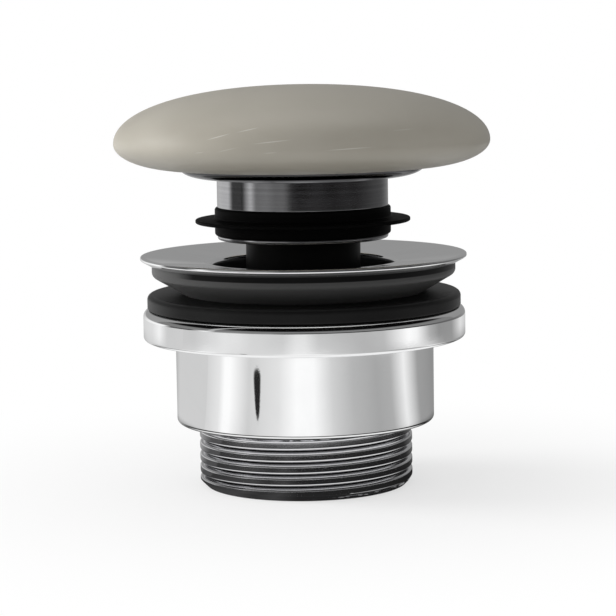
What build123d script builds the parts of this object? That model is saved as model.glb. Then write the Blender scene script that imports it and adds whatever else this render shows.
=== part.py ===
from build123d import *
import math
import os

os.makedirs("parts", exist_ok=True)

# Sizes are in millimetres. Z is up along the axis of the waste, and z = 0 is the end of its tail.

# tail: G 1 1/4 pipe thread
tail_thread_dia = 41.91
tail_length = 12.6
tail_chamfer = 1.2
tail_bore_dia = 34.0
tail_relief_dia = 39.9
tail_relief_width = 0.5

# lower body: a narrow cup under a wide clamping ring
cup_wall = 4.195
cup_height = 16.4
cup_edge_round = 1.1
cup_floor_thickness = 2.6
ring_dia = 63.1
ring_height = 6.0
ring_upper_round = 1.5
ring_lower_round = 0.7
barrel_thread_clearance = 0.15

# under-basin gasket, and the cone washer that fills the basin hole
gasket_thickness = 2.9
gasket_dia = 61.4
gasket_upper_round = 1.0
gasket_lower_round = 0.4
rubber_bore_clearance = 0.15
washer_height = 5.85
washer_dia = 59.4
washer_foot_width = 2.395
washer_lip_height = 2.2
washer_lip_round = 1.2
washer_foot_round = 0.4

# flange: a shallow saucer on a threaded barrel, cast with a four-arm bridge
flange_dia = 63.8
flange_seat_dia = 60.4
rim_lift = 0.95
rim_thickness = 0.6
rim_flat_width = 0.9
rim_edge_round = 0.26
dish_depth = 1.3
dish_floor_width = 1.5
throat_round = 1.1
barrel_dia = 41.91
barrel_wall = 3.155
barrel_length = 27.15
bridge_setback = 7.9
bridge_height = 3.5
bridge_arm_width = 2.8
bridge_hub_dia = 12.0

# plug: turned cup with a rubber lip seal in a groove
plug_stroke = 7.4
plug_throat_clearance = 1.1
plug_sleeve_clearance = 1.2
plug_height = 11.85
plug_roof_thickness = 2.5
plug_edge_round = 0.5
plug_land = 0.8
seal_below_lip = 2.8
seal_above_lip = 2.7
seal_groove_depth = 1.9
seal_stand = 0.5
seal_edge_round = 0.5
lip_overlap = 3.2
lip_root_thickness = 1.1
lip_root_depth = 1.0
lip_tip_thickness = 0.7
lip_tip_bevel = 0.2
lip_seat_clearance = 0.05

# cartridge: fixed sleeve and bush, turning index ring, sprung plunger
sleeve_dia = 22.4
sleeve_floor_thickness = 2.0
sleeve_lower_bore = 16.4
sleeve_upper_bore = 18.6
sleeve_shoulder_height = 10.0
sleeve_top_clearance = 0.7
post_dia = 6.6
post_height = 7.5
index_ring_height = 3.6
index_ring_bore = 15.4
index_ring_play = 0.2
index_pin_dia = 1.8
index_pin_inset = 0.2
index_pin_clearance = 0.25
plunger_dia = 15.0
plunger_foot = 3.0
plunger_bore = 10.4
plunger_head = 6.5
plunger_running_clearance = 0.08
track_width = 2.4
track_depth = 1.3
track_overtravel = 1.4
track_leg_turn = 45.0
spring_mean_dia = 8.6
spring_wire_dia = 1.0
spring_turns = 6.0
spring_end_play = 0.05

# cap: glazed pebble on a rounded metal plate
cap_dia = 73.2
cap_crown_height = 11.0
cap_edge_height = 5.05
cap_foot_dia = 48.0
cap_crown_reach = 23.0
cap_shoulder_reach = 6.2
cap_recess_clearance = 0.2
cap_recess_play = 0.3
plate_dia = 47.4
plate_flat_margin = 0.3
plate_thickness = 2.0
plate_boss_dia = 18.0
plate_boss_height = 3.9

# screws
fixing_screw_dia = 4.0
fixing_screw_length = 11.9
fixing_tip_play = 0.4
fixing_head_dia = 7.6
fixing_head_height = 2.6
fixing_head_round = 1.0
fixing_slot_width = 1.0
fixing_slot_depth = 1.2
cap_screw_dia = 6.0
cap_screw_grip = 5.4
cap_head_dia = 10.0
cap_head_height = 3.3
cap_head_sink = 0.1
cap_head_clearance = 0.2
cap_socket_width = 4.0
cap_socket_depth = 1.8
screw_hole_clearance = 0.15

# how far a cut runs past the face it opens
past_face = 1.0

# diameters that follow the barrel, its throat and the sleeve
body_bore_dia = barrel_dia + 2 * barrel_thread_clearance
cup_dia = body_bore_dia + 2 * cup_wall
rubber_bore_dia = barrel_dia + 2 * rubber_bore_clearance
washer_foot_dia = rubber_bore_dia + 2 * washer_foot_width
throat_dia = barrel_dia - 2 * barrel_wall
dish_low_dia = throat_dia + 2 * dish_floor_width
plug_dia = throat_dia - 2 * plug_throat_clearance
plug_bore = sleeve_dia + 2 * plug_sleeve_clearance
seal_dia = plug_dia + 2 * seal_stand
seal_groove_dia = plug_dia - 2 * seal_groove_depth
lip_dia = throat_dia + 2 * lip_overlap
plate_flat_dia = plug_dia + 2 * plate_flat_margin

# levels, from the tail up to the flange
cup_top = tail_length + cup_height
cup_floor = tail_length + cup_floor_thickness
ring_top = cup_top + ring_height
gasket_top = ring_top + gasket_thickness
flange_seat = gasket_top + washer_height
rim_under = flange_seat + rim_lift
rim_over = rim_under + rim_thickness
dish_low = rim_over - dish_depth
barrel_end = flange_seat - barrel_length
bridge_under = barrel_end + bridge_setback
bridge_over = bridge_under + bridge_height

# levels of the raised plug: its lip comes down on the dish at the end of the stroke
lip_outer = lip_dia / 2
lip_touch = lip_outer - lip_tip_bevel
dish_rise = dish_depth / (flange_dia / 2 - rim_flat_width - dish_low_dia / 2)
lip_seat = dish_low + dish_rise * (lip_touch - dish_low_dia / 2)
lip_mid = lip_seat + lip_seat_clearance + plug_stroke + lip_tip_thickness / 2
seal_bottom = lip_mid - seal_below_lip
seal_top = lip_mid + seal_above_lip
plug_bottom = seal_bottom - plug_land
plug_top = plug_bottom + plug_height
plug_roof = plug_top - plug_roof_thickness
cap_bottom = plug_top + plate_thickness
cap_widest = cap_bottom + cap_edge_height
cap_top = cap_widest + cap_crown_height

# levels inside the cartridge
sleeve_floor = bridge_over + sleeve_floor_thickness
sleeve_shoulder = sleeve_floor + sleeve_shoulder_height
sleeve_top = plug_roof - plug_stroke - sleeve_top_clearance
post_top = sleeve_floor + post_height
index_low = sleeve_shoulder + index_ring_play
index_high = index_low + index_ring_height
bush_low = index_high + index_ring_play
track_start = index_low + index_ring_height / 2
track_full_rise = plug_stroke + track_overtravel
plunger_bottom = track_start - plunger_foot
plunger_bore_top = plug_roof - plunger_head


def turned(*points):
    outline = Plane.XZ * Polyline(*points, close=True)
    return revolve(make_face(outline), axis=Axis.Z)


def rod(diameter, low, high):
    return Pos(0, 0, low) * extrude(Circle(diameter / 2), high - low)


def tube(outer, inner, low, high):
    return rod(outer, low, high) - rod(inner, low - past_face, high + past_face)


def rim_edges(solid, diameter, height):
    chosen = []
    for edge in solid.edges().filter_by(GeomType.CIRCLE):
        level = edge.center(CenterOf.BOUNDING_BOX).Z
        if abs(edge.radius - diameter / 2) < 0.01 and abs(level - height) < 0.01:
            chosen.append(edge)
    return chosen


# lower body, one casting: ring, cup and threaded tail
waste_body = rod(cup_dia, tail_length, cup_top) + rod(ring_dia, cup_top, ring_top)
waste_body = fillet(rim_edges(waste_body, ring_dia, ring_top), ring_upper_round)
waste_body = fillet(rim_edges(waste_body, ring_dia, cup_top), ring_lower_round)
waste_body = fillet(rim_edges(waste_body, cup_dia, tail_length), cup_edge_round)
tail = rod(tail_thread_dia, 0, tail_length)
tail = chamfer(rim_edges(tail, tail_thread_dia, 0), tail_chamfer)
relief_low = tail_length - tail_relief_width
tail -= tube(tail_thread_dia + past_face, tail_relief_dia, relief_low, tail_length)
waste_body += tail
waste_body -= rod(body_bore_dia, cup_floor, ring_top + past_face)
waste_body -= rod(tail_bore_dia, -past_face, cup_floor + past_face)

# flat rubber gasket that lies on the ring, under the basin
under_gasket = tube(gasket_dia, rubber_bore_dia, ring_top, gasket_top)
under_gasket = fillet(rim_edges(under_gasket, gasket_dia, gasket_top), gasket_upper_round)
under_gasket = fillet(rim_edges(under_gasket, gasket_dia, ring_top), gasket_lower_round)

# rubber cone washer between the flange and the basin
cone_washer = turned(
    (rubber_bore_dia / 2, gasket_top),
    (washer_foot_dia / 2, gasket_top),
    (washer_dia / 2, flange_seat - washer_lip_height),
    (washer_dia / 2, flange_seat),
    (rubber_bore_dia / 2, flange_seat),
)
cone_washer = fillet(rim_edges(cone_washer, washer_foot_dia, gasket_top), washer_foot_round)
cone_washer = fillet(rim_edges(cone_washer, washer_dia, flange_seat - washer_lip_height), washer_lip_round)

# flange, barrel and bridge, one casting
waste_flange = turned(
    (throat_dia / 2, barrel_end),
    (barrel_dia / 2, barrel_end),
    (barrel_dia / 2, flange_seat),
    (flange_seat_dia / 2, flange_seat),
    (flange_dia / 2, rim_under),
    (flange_dia / 2, rim_over),
    (flange_dia / 2 - rim_flat_width, rim_over),
    (dish_low_dia / 2, dish_low),
    (throat_dia / 2, dish_low),
)
waste_flange = fillet(rim_edges(waste_flange, throat_dia, dish_low), throat_round)
waste_flange = fillet(rim_edges(waste_flange, flange_dia, rim_over), rim_edge_round)
waste_flange = fillet(rim_edges(waste_flange, flange_dia, rim_under), rim_edge_round)
arm_reach = (throat_dia + barrel_dia) / 4
arm_plan = Pos(arm_reach / 2, 0) * Rectangle(arm_reach, bridge_arm_width)
arm = Pos(0, 0, bridge_under) * extrude(arm_plan, bridge_height)
bridge = rod(bridge_hub_dia, bridge_under, bridge_over)
for quarter in range(4):
    bridge += Rot(0, 0, 45 + 90 * quarter) * arm
fixing_hole_dia = fixing_screw_dia + 2 * screw_hole_clearance
bridge -= rod(fixing_hole_dia, bridge_under - past_face, bridge_over + past_face)
waste_flange += bridge

# cartridge sleeve: floor and spring post below, stepped bore above
fixing_screw_end = bridge_under + fixing_screw_length
cartridge_sleeve = turned(
    (0, bridge_over),
    (sleeve_dia / 2, bridge_over),
    (sleeve_dia / 2, sleeve_top),
    (sleeve_upper_bore / 2, sleeve_top),
    (sleeve_upper_bore / 2, sleeve_shoulder),
    (sleeve_lower_bore / 2, sleeve_shoulder),
    (sleeve_lower_bore / 2, sleeve_floor),
    (post_dia / 2, sleeve_floor),
    (post_dia / 2, post_top),
    (0, post_top),
)
cartridge_sleeve -= rod(fixing_screw_dia, bridge_over - past_face, fixing_screw_end + fixing_tip_play)

# index ring: turns on the sleeve's shoulder, held down by the bush, with two pins pressed in
index_ring_dia = sleeve_upper_bore - 2 * index_ring_play
index_ring = tube(index_ring_dia, index_ring_bore, index_low, index_high)
pin_tip = plunger_dia / 2 - track_depth + index_pin_clearance
pin_length = index_ring_dia / 2 - index_pin_inset - pin_tip
pin = Pos(pin_tip, 0, track_start) * Rot(0, 90, 0) * extrude(Circle(index_pin_dia / 2), pin_length)
index_pins = pin + Rot(0, 0, 180) * pin
index_ring -= index_pins

bush_bore = plunger_dia + 2 * plunger_running_clearance
cartridge_bush = tube(sleeve_upper_bore, bush_bore, bush_low, sleeve_top)

# plunger: hollow rod with a closed zigzag track for the pins of the index ring
plunger = rod(plunger_dia, plunger_bottom, plug_roof)
plunger -= rod(plunger_bore, plunger_bottom - past_face, plunger_bore_top)
plunger -= rod(cap_screw_dia, plunger_bore_top - past_face, plug_roof + past_face)


def track_leg(turn, low, high, rising):
    rise = high - low
    path = Helix(
        pitch=rise * 360 / track_leg_turn,
        height=rise,
        radius=plunger_dia / 2,
        lefthand=not rising,
    )
    across = Plane(origin=path @ 0, x_dir=(1, 0, 0), z_dir=path % 0)
    leg = sweep(across * Rectangle(2 * track_depth, track_width), path=path, is_frenet=True)
    return Pos(0, 0, track_start + low) * Rot(0, 0, turn) * leg


def track_corner(turn, rise):
    plain = extrude(Circle(track_width / 2), 2 * track_depth)
    seated = Pos(plunger_dia / 2 - track_depth, 0, track_start + rise) * Rot(0, 90, 0) * plain
    return Rot(0, 0, turn) * seated


# each half turn of the track: full rise, drop to the latch notch, rise again, full drop
for start in (0, 180):
    first = start + track_leg_turn
    second = first + track_leg_turn
    third = second + track_leg_turn
    last = third + track_leg_turn
    plunger -= track_leg(start, 0, track_full_rise, True)
    plunger -= track_leg(second, plug_stroke, track_full_rise, False)
    plunger -= track_leg(second, plug_stroke, track_full_rise, True)
    plunger -= track_leg(last, 0, track_full_rise, False)
    plunger -= track_corner(start, 0)
    plunger -= track_corner(first, track_full_rise)
    plunger -= track_corner(second, plug_stroke)
    plunger -= track_corner(third, track_full_rise)

# return spring between the sleeve floor and the roof of the plunger bore
spring_top = plunger_bore_top - spring_end_play
spring_height = spring_top - sleeve_floor
coil = Helix(
    pitch=spring_height / spring_turns,
    height=spring_height,
    radius=spring_mean_dia / 2,
)
coil_start = Plane(origin=coil @ 0, x_dir=(1, 0, 0), z_dir=coil % 0)
wire = coil_start * RegularPolygon(spring_wire_dia / 2, 8)
return_spring = Pos(0, 0, sleeve_floor) * sweep(wire, path=coil, is_frenet=True)
return_spring = return_spring & rod(spring_mean_dia + 2 * spring_wire_dia, sleeve_floor, spring_top)

# screw that holds the sleeve on the bridge
fixing_head_low = bridge_under - fixing_head_height
fixing_head = rod(fixing_head_dia, fixing_head_low, bridge_under)
fixing_head = fillet(rim_edges(fixing_head, fixing_head_dia, fixing_head_low), fixing_head_round)
slot = Pos(0, 0, fixing_head_low) * Box(2 * fixing_head_dia, fixing_slot_width, 2 * fixing_slot_depth)
fixing_screw = rod(fixing_screw_dia, bridge_under, fixing_screw_end) + (fixing_head - slot)

# plug: open below, so that it comes down over the sleeve
cap_hole_dia = cap_screw_dia + 2 * screw_hole_clearance
plug_body = rod(plug_dia, plug_bottom, plug_top)
plug_body -= rod(plug_bore, plug_bottom - past_face, plug_roof)
plug_body = fillet(rim_edges(plug_body, plug_dia, plug_bottom), plug_edge_round)
plug_body -= tube(plug_dia + past_face, seal_groove_dia, seal_bottom, seal_top)
plug_body -= rod(cap_hole_dia, plug_roof - past_face, plug_top + past_face)

# seal with one thin flat lip
plug_seal = tube(seal_dia, seal_groove_dia, seal_bottom, seal_top)
plug_seal = fillet(rim_edges(plug_seal, seal_dia, seal_top), seal_edge_round)
plug_seal = fillet(rim_edges(plug_seal, seal_dia, seal_bottom), seal_edge_round)
lip_inner = seal_dia / 2 - lip_root_depth
plug_seal += turned(
    (lip_inner, lip_mid - lip_root_thickness / 2),
    (seal_dia / 2, lip_mid - lip_root_thickness / 2),
    (lip_touch, lip_mid - lip_tip_thickness / 2),
    (lip_outer, lip_mid - lip_tip_thickness / 4),
    (lip_outer, lip_mid + lip_tip_thickness / 4),
    (lip_touch, lip_mid + lip_tip_thickness / 2),
    (seal_dia / 2, lip_mid + lip_root_thickness / 2),
    (lip_inner, lip_mid + lip_root_thickness / 2),
)

# plate under the cap, rounded below, with a boss that keys into the cap
with BuildPart() as plate_build:
    with BuildSketch(Plane.XZ):
        with BuildLine():
            Polyline((0, cap_bottom), (0, plug_top), (plate_flat_dia / 2, plug_top))
            EllipticalCenterArc(
                (plate_flat_dia / 2, cap_bottom),
                (plate_dia - plate_flat_dia) / 2,
                plate_thickness,
                start_angle=270,
                arc_size=90,
            )
            Line((plate_dia / 2, cap_bottom), (0, cap_bottom))
        make_face()
    revolve(axis=Axis.Z)
boss_top = cap_bottom + plate_boss_height
cap_head_top = boss_top - cap_head_sink
cap_head_low = cap_head_top - cap_head_height
cap_plate = plate_build.part + rod(plate_boss_dia, cap_bottom, boss_top)
cap_plate -= rod(cap_hole_dia, plug_top - past_face, boss_top + past_face)
cap_plate -= rod(cap_head_dia + 2 * cap_head_clearance, cap_head_low, boss_top + past_face)

# screw that ties plate, plug and plunger together
cap_screw = rod(cap_screw_dia, plug_roof - cap_screw_grip, cap_head_low)
cap_screw += rod(cap_head_dia, cap_head_low, cap_head_top)
socket = extrude(RegularPolygon(cap_socket_width / math.sqrt(3), 6), cap_socket_depth + past_face)
cap_screw -= Pos(0, 0, cap_head_top - cap_socket_depth) * socket

# glazed cap, one pebble-shaped piece
with BuildPart() as cap_build:
    with BuildSketch(Plane.XZ):
        with BuildLine():
            Bezier(
                (0, cap_top),
                (cap_crown_reach, cap_top),
                (cap_dia / 2, cap_widest + cap_shoulder_reach),
                (cap_dia / 2, cap_widest),
            )
            EllipticalCenterArc(
                (cap_foot_dia / 2, cap_widest),
                (cap_dia - cap_foot_dia) / 2,
                cap_edge_height,
                start_angle=270,
                arc_size=90,
            )
            Polyline((cap_foot_dia / 2, cap_bottom), (0, cap_bottom), (0, cap_top))
        make_face()
    revolve(axis=Axis.Z)
recess_dia = plate_boss_dia + 2 * cap_recess_clearance
ceramic_cap = cap_build.part - rod(recess_dia, cap_bottom - past_face, boss_top + cap_recess_play)

pieces = {
    "waste_body": waste_body,
    "under_gasket": under_gasket,
    "cone_washer": cone_washer,
    "waste_flange": waste_flange,
    "cartridge_sleeve": cartridge_sleeve,
    "cartridge_bush": cartridge_bush,
    "index_ring": index_ring,
    "index_pins": index_pins,
    "return_spring": return_spring,
    "fixing_screw": fixing_screw,
    "plunger": plunger,
    "plug_body": plug_body,
    "plug_seal": plug_seal,
    "cap_plate": cap_plate,
    "cap_screw": cap_screw,
    "ceramic_cap": ceramic_cap,
}
for name, piece in pieces.items():
    export_step(piece, f"parts/{name}.step")
    print(name, len(piece.solids()), "solids", round(piece.volume / 1000, 3), "cm3")
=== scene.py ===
import math
import bpy
import bmesh
from mathutils import Euler, Matrix, Vector


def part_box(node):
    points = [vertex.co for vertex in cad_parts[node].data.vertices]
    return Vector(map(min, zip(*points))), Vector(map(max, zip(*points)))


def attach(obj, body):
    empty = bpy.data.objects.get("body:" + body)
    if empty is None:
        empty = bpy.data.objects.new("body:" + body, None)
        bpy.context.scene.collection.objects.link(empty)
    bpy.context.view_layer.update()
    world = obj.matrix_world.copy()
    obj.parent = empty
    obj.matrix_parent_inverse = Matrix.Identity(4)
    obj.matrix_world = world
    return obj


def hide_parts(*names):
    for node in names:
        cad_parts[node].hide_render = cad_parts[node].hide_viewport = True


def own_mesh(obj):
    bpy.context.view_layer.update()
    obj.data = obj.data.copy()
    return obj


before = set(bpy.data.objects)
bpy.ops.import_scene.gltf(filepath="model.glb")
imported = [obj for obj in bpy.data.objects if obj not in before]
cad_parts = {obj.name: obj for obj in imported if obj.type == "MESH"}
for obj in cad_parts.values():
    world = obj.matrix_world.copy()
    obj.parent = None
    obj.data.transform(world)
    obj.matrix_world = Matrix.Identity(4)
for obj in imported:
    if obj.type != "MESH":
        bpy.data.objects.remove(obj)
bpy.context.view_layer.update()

mm = 0.001
fullTurn = 2 * math.pi
frontTurn = 0.75  # the front faces -Y, three quarters of a turn from +X
scene = bpy.context.scene
scene.view_settings.view_transform = "Standard"


# half width, bottom and top of a solid's box, in mm
def sizesIn(box):
    low, high = box
    return (high.x - low.x) / 2 / mm, low.z / mm, high.z / mm


# outlines: points are (radius, height, edge round) in mm; each round becomes a short arc,
# with a support point on either side of it so that the flats next to it stay flat in the shading
def softOutline(points, closed=True, arcSteps=7, support=0.03):
    count = len(points)
    leastFlat = 4 * support
    corners = []
    for i, point in enumerate(points):
        here = Vector(point[:2])
        before = (Vector(points[i - 1][:2]) - here).normalized()
        after = (Vector(points[(i + 1) % count][:2]) - here).normalized()
        half = before.angle(after) / 2
        rounded = len(point) > 2 and (closed or 0 < i < count - 1)
        corners.append((here, before, after, half, point[2] / math.tan(half) if rounded else 0.0))
    out = []
    for i, (here, before, after, half, reach) in enumerate(corners):
        if reach <= 0.0:
            out.append((here.x, here.y))
            continue
        centre = here + (before + after).normalized() * (reach / math.cos(half))
        start = here + before * reach - centre
        end = here + after * reach - centre
        sweep = start.angle_signed(end)
        arc = [centre + Matrix.Rotation(-sweep * k / arcSteps, 2) @ start for k in range(arcSteps + 1)]
        last, coming = corners[i - 1], corners[(i + 1) % count]
        if (last[0] - here).length - last[4] - reach > leastFlat:
            arc.insert(0, here + before * (reach + support))
        if (coming[0] - here).length - coming[4] - reach > leastFlat:
            arc.append(here + after * (reach + support))
        out.extend((p.x, p.y) for p in arc)
    return out


def bezierRun(a, b, c, d, steps):
    run = []
    for k in range(steps + 1):
        t = k / steps
        s = 1 - t
        shares = (s ** 3, 3 * s * s * t, 3 * s * t * t, t ** 3)
        run.append(tuple(sum(w * p[n] for w, p in zip(shares, (a, b, c, d))) for n in (0, 1)))
    return run


def ovalRun(centre, across, tall, fromDeg, toDeg, steps):
    run = []
    for k in range(steps + 1):
        a = math.radians(fromDeg + (toDeg - fromDeg) * k / steps)
        run.append((centre[0] + across * math.cos(a), centre[1] + tall * math.sin(a)))
    return run


# right-hand thread: how far the surface drops below the crest at this height and angle
def threadDrop(thread, height, angle):
    phase = (height - thread["frontCrest"]) / thread["pitch"] - (angle / fullTurn - frontTurn)
    past = abs((phase + 0.5) % 1.0 - 0.5) * thread["pitch"] - thread["crestHalf"]
    if past <= 0:
        return 0.0
    bend = thread["crestRound"]
    lean = math.radians(thread["flankDeg"])
    arc = bend * math.sin(lean)
    if past < arc:
        return bend - math.sqrt(bend * bend - past * past)
    return min(thread["depth"], bend * (1 - math.cos(lean)) + (past - arc) * math.tan(lean))


# heights within one pitch, from the crest's middle, that the rows of a thread's mesh follow
def threadSteps(thread, arcSteps=5, support=0.03):
    flat = thread["crestHalf"]
    bend = thread["crestRound"]
    lean = math.radians(thread["flankDeg"])
    half = thread["pitch"] / 2
    arc = [flat + bend * math.sin(lean * k / arcSteps) for k in range(arcSteps + 1)]
    upper = [flat - support] + arc + [arc[-1] + support, (arc[-1] + half) / 2]
    return [-step for step in reversed(upper)] + upper + [half]


# joins two rings by rows that climb with the thread; rows past either ring, or close to it, end on it
def bridgeThread(bm, thread, lower, upper, steps, close=0.01):
    levels = threadSteps(thread)
    low, high, pitch = thread["low"], thread["high"], thread["pitch"]
    first = math.floor((low - thread["frontCrest"]) / pitch) - 1
    last = math.ceil((high - thread["frontCrest"]) / pitch) + 1
    columns = []
    for k in range(steps):
        angle = fullTurn * k / steps
        column = []
        for turn in range(first, last + 1):
            for level in levels:
                height = thread["frontCrest"] + level + pitch * (turn + angle / fullTurn - frontTurn)
                if height <= low + close:
                    column.append(lower[k])
                elif height >= high - close:
                    column.append(upper[k])
                else:
                    r = (thread["crest"] - threadDrop(thread, height, angle)) * mm
                    column.append(bm.verts.new((r * math.cos(angle), r * math.sin(angle), height * mm)))
        columns.append(column)
    columns.append(columns[0][len(levels):] + [upper[0]] * len(levels))
    for left, right in zip(columns, columns[1:]):
        for j in range(len(left) - 1):
            corners = list(dict.fromkeys((left[j], right[j], right[j + 1], left[j + 1])))
            if len(corners) > 2:
                bm.faces.new(corners)


# turns an outline about Z; the two points at a thread's ends are joined by its helix, and points from
# cutFrom up to its end that lie within cutReach of the grooves are cut by it too
def turnPiece(name, outline, steps, closed=True, thread=None, cutReach=0.2):
    bm = bmesh.new()
    rings = []
    for radius, height in outline:
        if radius < 1e-6:
            rings.append([bm.verts.new((0, 0, height * mm))])
            continue
        cut = False
        if thread and thread["cutFrom"] <= height <= thread["high"]:
            cut = radius > thread["crest"] - thread["depth"] - cutReach
        ring = []
        for k in range(steps):
            angle = fullTurn * k / steps
            r = min(radius, thread["crest"] - threadDrop(thread, height, angle)) if cut else radius
            ring.append(bm.verts.new((r * mm * math.cos(angle), r * mm * math.sin(angle), height * mm)))
        rings.append(ring)
    threadStart = outline.index((thread["crest"], thread["low"])) if thread else None
    pairs = list(zip(rings, rings[1:]))
    if closed:
        pairs.append((rings[-1], rings[0]))
    for i, (lower, upper) in enumerate(pairs):
        if i == threadStart:
            bridgeThread(bm, thread, lower, upper, steps)
            continue
        for k in range(steps):
            n = (k + 1) % steps
            if len(lower) == 1:
                bm.faces.new((lower[0], upper[n], upper[k]))
            elif len(upper) == 1:
                bm.faces.new((lower[k], lower[n], upper[0]))
            else:
                bm.faces.new((lower[k], lower[n], upper[n], upper[k]))
    bmesh.ops.recalc_face_normals(bm, faces=bm.faces)
    return finishMesh(name, bm)


def finishMesh(name, bm, sharpDeg=32):
    mesh = bpy.data.meshes.new(name)
    bm.to_mesh(mesh)
    bm.free()
    mesh.shade_smooth()
    mesh.set_sharp_from_angle(angle=math.radians(sharpDeg))
    piece = bpy.data.objects.new(name, mesh)
    scene.collection.objects.link(piece)
    return piece


def seat(piece, body, finish, slotName, *nodes):
    piece.data.materials.append(finish)
    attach(piece, body)
    if nodes:
        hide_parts(*nodes)
    return piece


# shader helpers: an input takes another node's output or a fixed value, and a colour may be one grey
def feed(socket, value):
    if isinstance(value, bpy.types.NodeSocket):
        socket.id_data.links.new(value, socket)
        return
    if socket.type == "RGBA":
        value = (*value, 1) if isinstance(value, tuple) else (value, value, value, 1)
    socket.default_value = value


def setInputs(node, **values):
    for label, value in values.items():
        feed(node.inputs[label.replace("_", " ")], value)
    return node


def addNode(tree, kind, x, y, **settings):
    node = tree.nodes.new(kind)
    node.location = (x, y)
    for key, value in settings.items():
        setattr(node, key, value)
    return node


# a node whose inputs are given in their own order
def joinNode(tree, kind, x, y, *values, **settings):
    node = addNode(tree, kind, x, y, **settings)
    for socket, value in zip(node.inputs, values):
        feed(socket, value)
    return node


def calc(tree, x, y, operation, *values, **settings):
    return joinNode(tree, "ShaderNodeMath", x, y, *values, operation=operation, **settings).outputs[0]


# length or dot product
def measure(tree, x, y, operation, *vectors):
    return joinNode(tree, "ShaderNodeVectorMath", x, y, *vectors, operation=operation).outputs["Value"]


def splitXYZ(tree, x, y, vector):
    return joinNode(tree, "ShaderNodeSeparateXYZ", x, y, vector).outputs


def placeOf(tree, x, y, kind="Object"):
    return addNode(tree, "ShaderNodeTexCoord", x, y).outputs[kind]


# moves, turns and sizes a place so that a mark's own middle is 0 and its edges are 1
def markPlace(tree, x, y, place, middle, turn, size):
    node = addNode(tree, "ShaderNodeMapping", x, y, vector_type="TEXTURE")
    return setInputs(node, Vector=place, Location=middle, Rotation=turn, Scale=size).outputs[0]


def noise(tree, x, y, dimensions, **values):
    node = addNode(tree, "ShaderNodeTexNoise", x, y, noise_dimensions=dimensions)
    return setInputs(node, **values).outputs[0]


# even spread of a 0 to 1 value over low to high
def spread(tree, x, y, value, low, high):
    node = addNode(tree, "ShaderNodeMapRange", x, y)
    return setInputs(node, Value=value, To_Min=low, To_Max=high).outputs["Result"]


# smooth step from low to high as the value goes from start to end
def fade(tree, x, y, value, start, end, low=0.0, high=1.0):
    node = addNode(tree, "ShaderNodeMapRange", x, y, interpolation_type="SMOOTHSTEP")
    setInputs(node, Value=value, From_Min=start, From_Max=end, To_Min=low, To_Max=high)
    return node.outputs["Result"]


def mixOf(tree, x, y, share, first, second, kind="RGBA"):
    node = addNode(tree, "ShaderNodeMix", x, y, data_type=kind)
    return setInputs(node, Factor=share, A=first, B=second).outputs["Result"]


def ramp(tree, x, y, value, stops, smooth=True):
    node = setInputs(addNode(tree, "ShaderNodeValToRGB", x, y), Fac=value)
    node.color_ramp.interpolation = "EASE" if smooth else "LINEAR"
    elements = node.color_ramp.elements
    while len(elements) < len(stops):
        elements.new(0.5)
    for element, (position, shade) in zip(elements, stops):
        element.position = position
        element.color = (shade, shade, shade, 1)
    return node.outputs["Color"]


def shaderOf(tree, kind, x, y, **values):
    return setInputs(addNode(tree, kind, x, y), **values).outputs[0]


def chooseShader(tree, x, y, share, first, second):
    return joinNode(tree, "ShaderNodeMixShader", x, y, share, first, second).outputs[0]


# inputs are names with their default values, None for a vector
def newGroup(name, inputs, outputs):
    tree = bpy.data.node_groups.new(name, "ShaderNodeTree")
    for label, value in inputs.items():
        kind = "NodeSocketVector" if value is None else "NodeSocketFloat"
        socket = tree.interface.new_socket(name=label, in_out="INPUT", socket_type=kind)
        if value is not None:
            socket.default_value = value
    for label in outputs:
        tree.interface.new_socket(name=label, in_out="OUTPUT", socket_type="NodeSocketFloat")
    source = addNode(tree, "NodeGroupInput", -900, 0)
    return tree, source.outputs, addNode(tree, "NodeGroupOutput", 700, 0)


def useGroup(tree, group, x, y, **values):
    node = addNode(tree, "ShaderNodeGroup", x, y, node_tree=group)
    return setInputs(node, **values).outputs


# handling marks: soft cloudy smudges and a finer speckle, on metal and glaze
def makeHandlingMarks():
    tree, source, out = newGroup("handlingMarks", {"Size": 60.0, "Fine Size": 900.0}, ["Smudge", "Speckle"])
    place = placeOf(tree, -900, -300)
    cloud = noise(tree, -500, 100, "3D", Vector=place, Scale=source["Size"],
                  Detail=5.0, Roughness=0.6, Distortion=0.6)
    fine = noise(tree, -500, -250, "3D", Vector=place, Scale=source["Fine Size"], Detail=3.0, Roughness=0.7)
    setInputs(out,
              Smudge=ramp(tree, -150, 100, cloud, [(0.38, 0.0), (0.72, 1.0)]),
              Speckle=ramp(tree, -150, -250, fine, [(0.45, 0.0), (0.75, 1.0)]))
    return tree


# turning lines: fine uneven rings round the Z axis, as a lathe tool leaves them, in broader bands
def makeTurningLines(bandShare=0.22):
    tree, source, out = newGroup("turningLines", {"Lines": 9000.0}, ["Height", "Shade"])
    along = splitXYZ(tree, -750, -300, placeOf(tree, -900, -300))["Z"]
    rings = noise(tree, 50, -100, "1D", W=along, Scale=source["Lines"], Detail=4.0, Roughness=0.75)
    coarse = calc(tree, 50, -350, "MULTIPLY", source["Lines"], bandShare)
    bands = noise(tree, 250, -350, "1D", W=along, Scale=coarse, Detail=2.0)
    setInputs(out, Height=rings, Shade=bands)
    return tree


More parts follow.
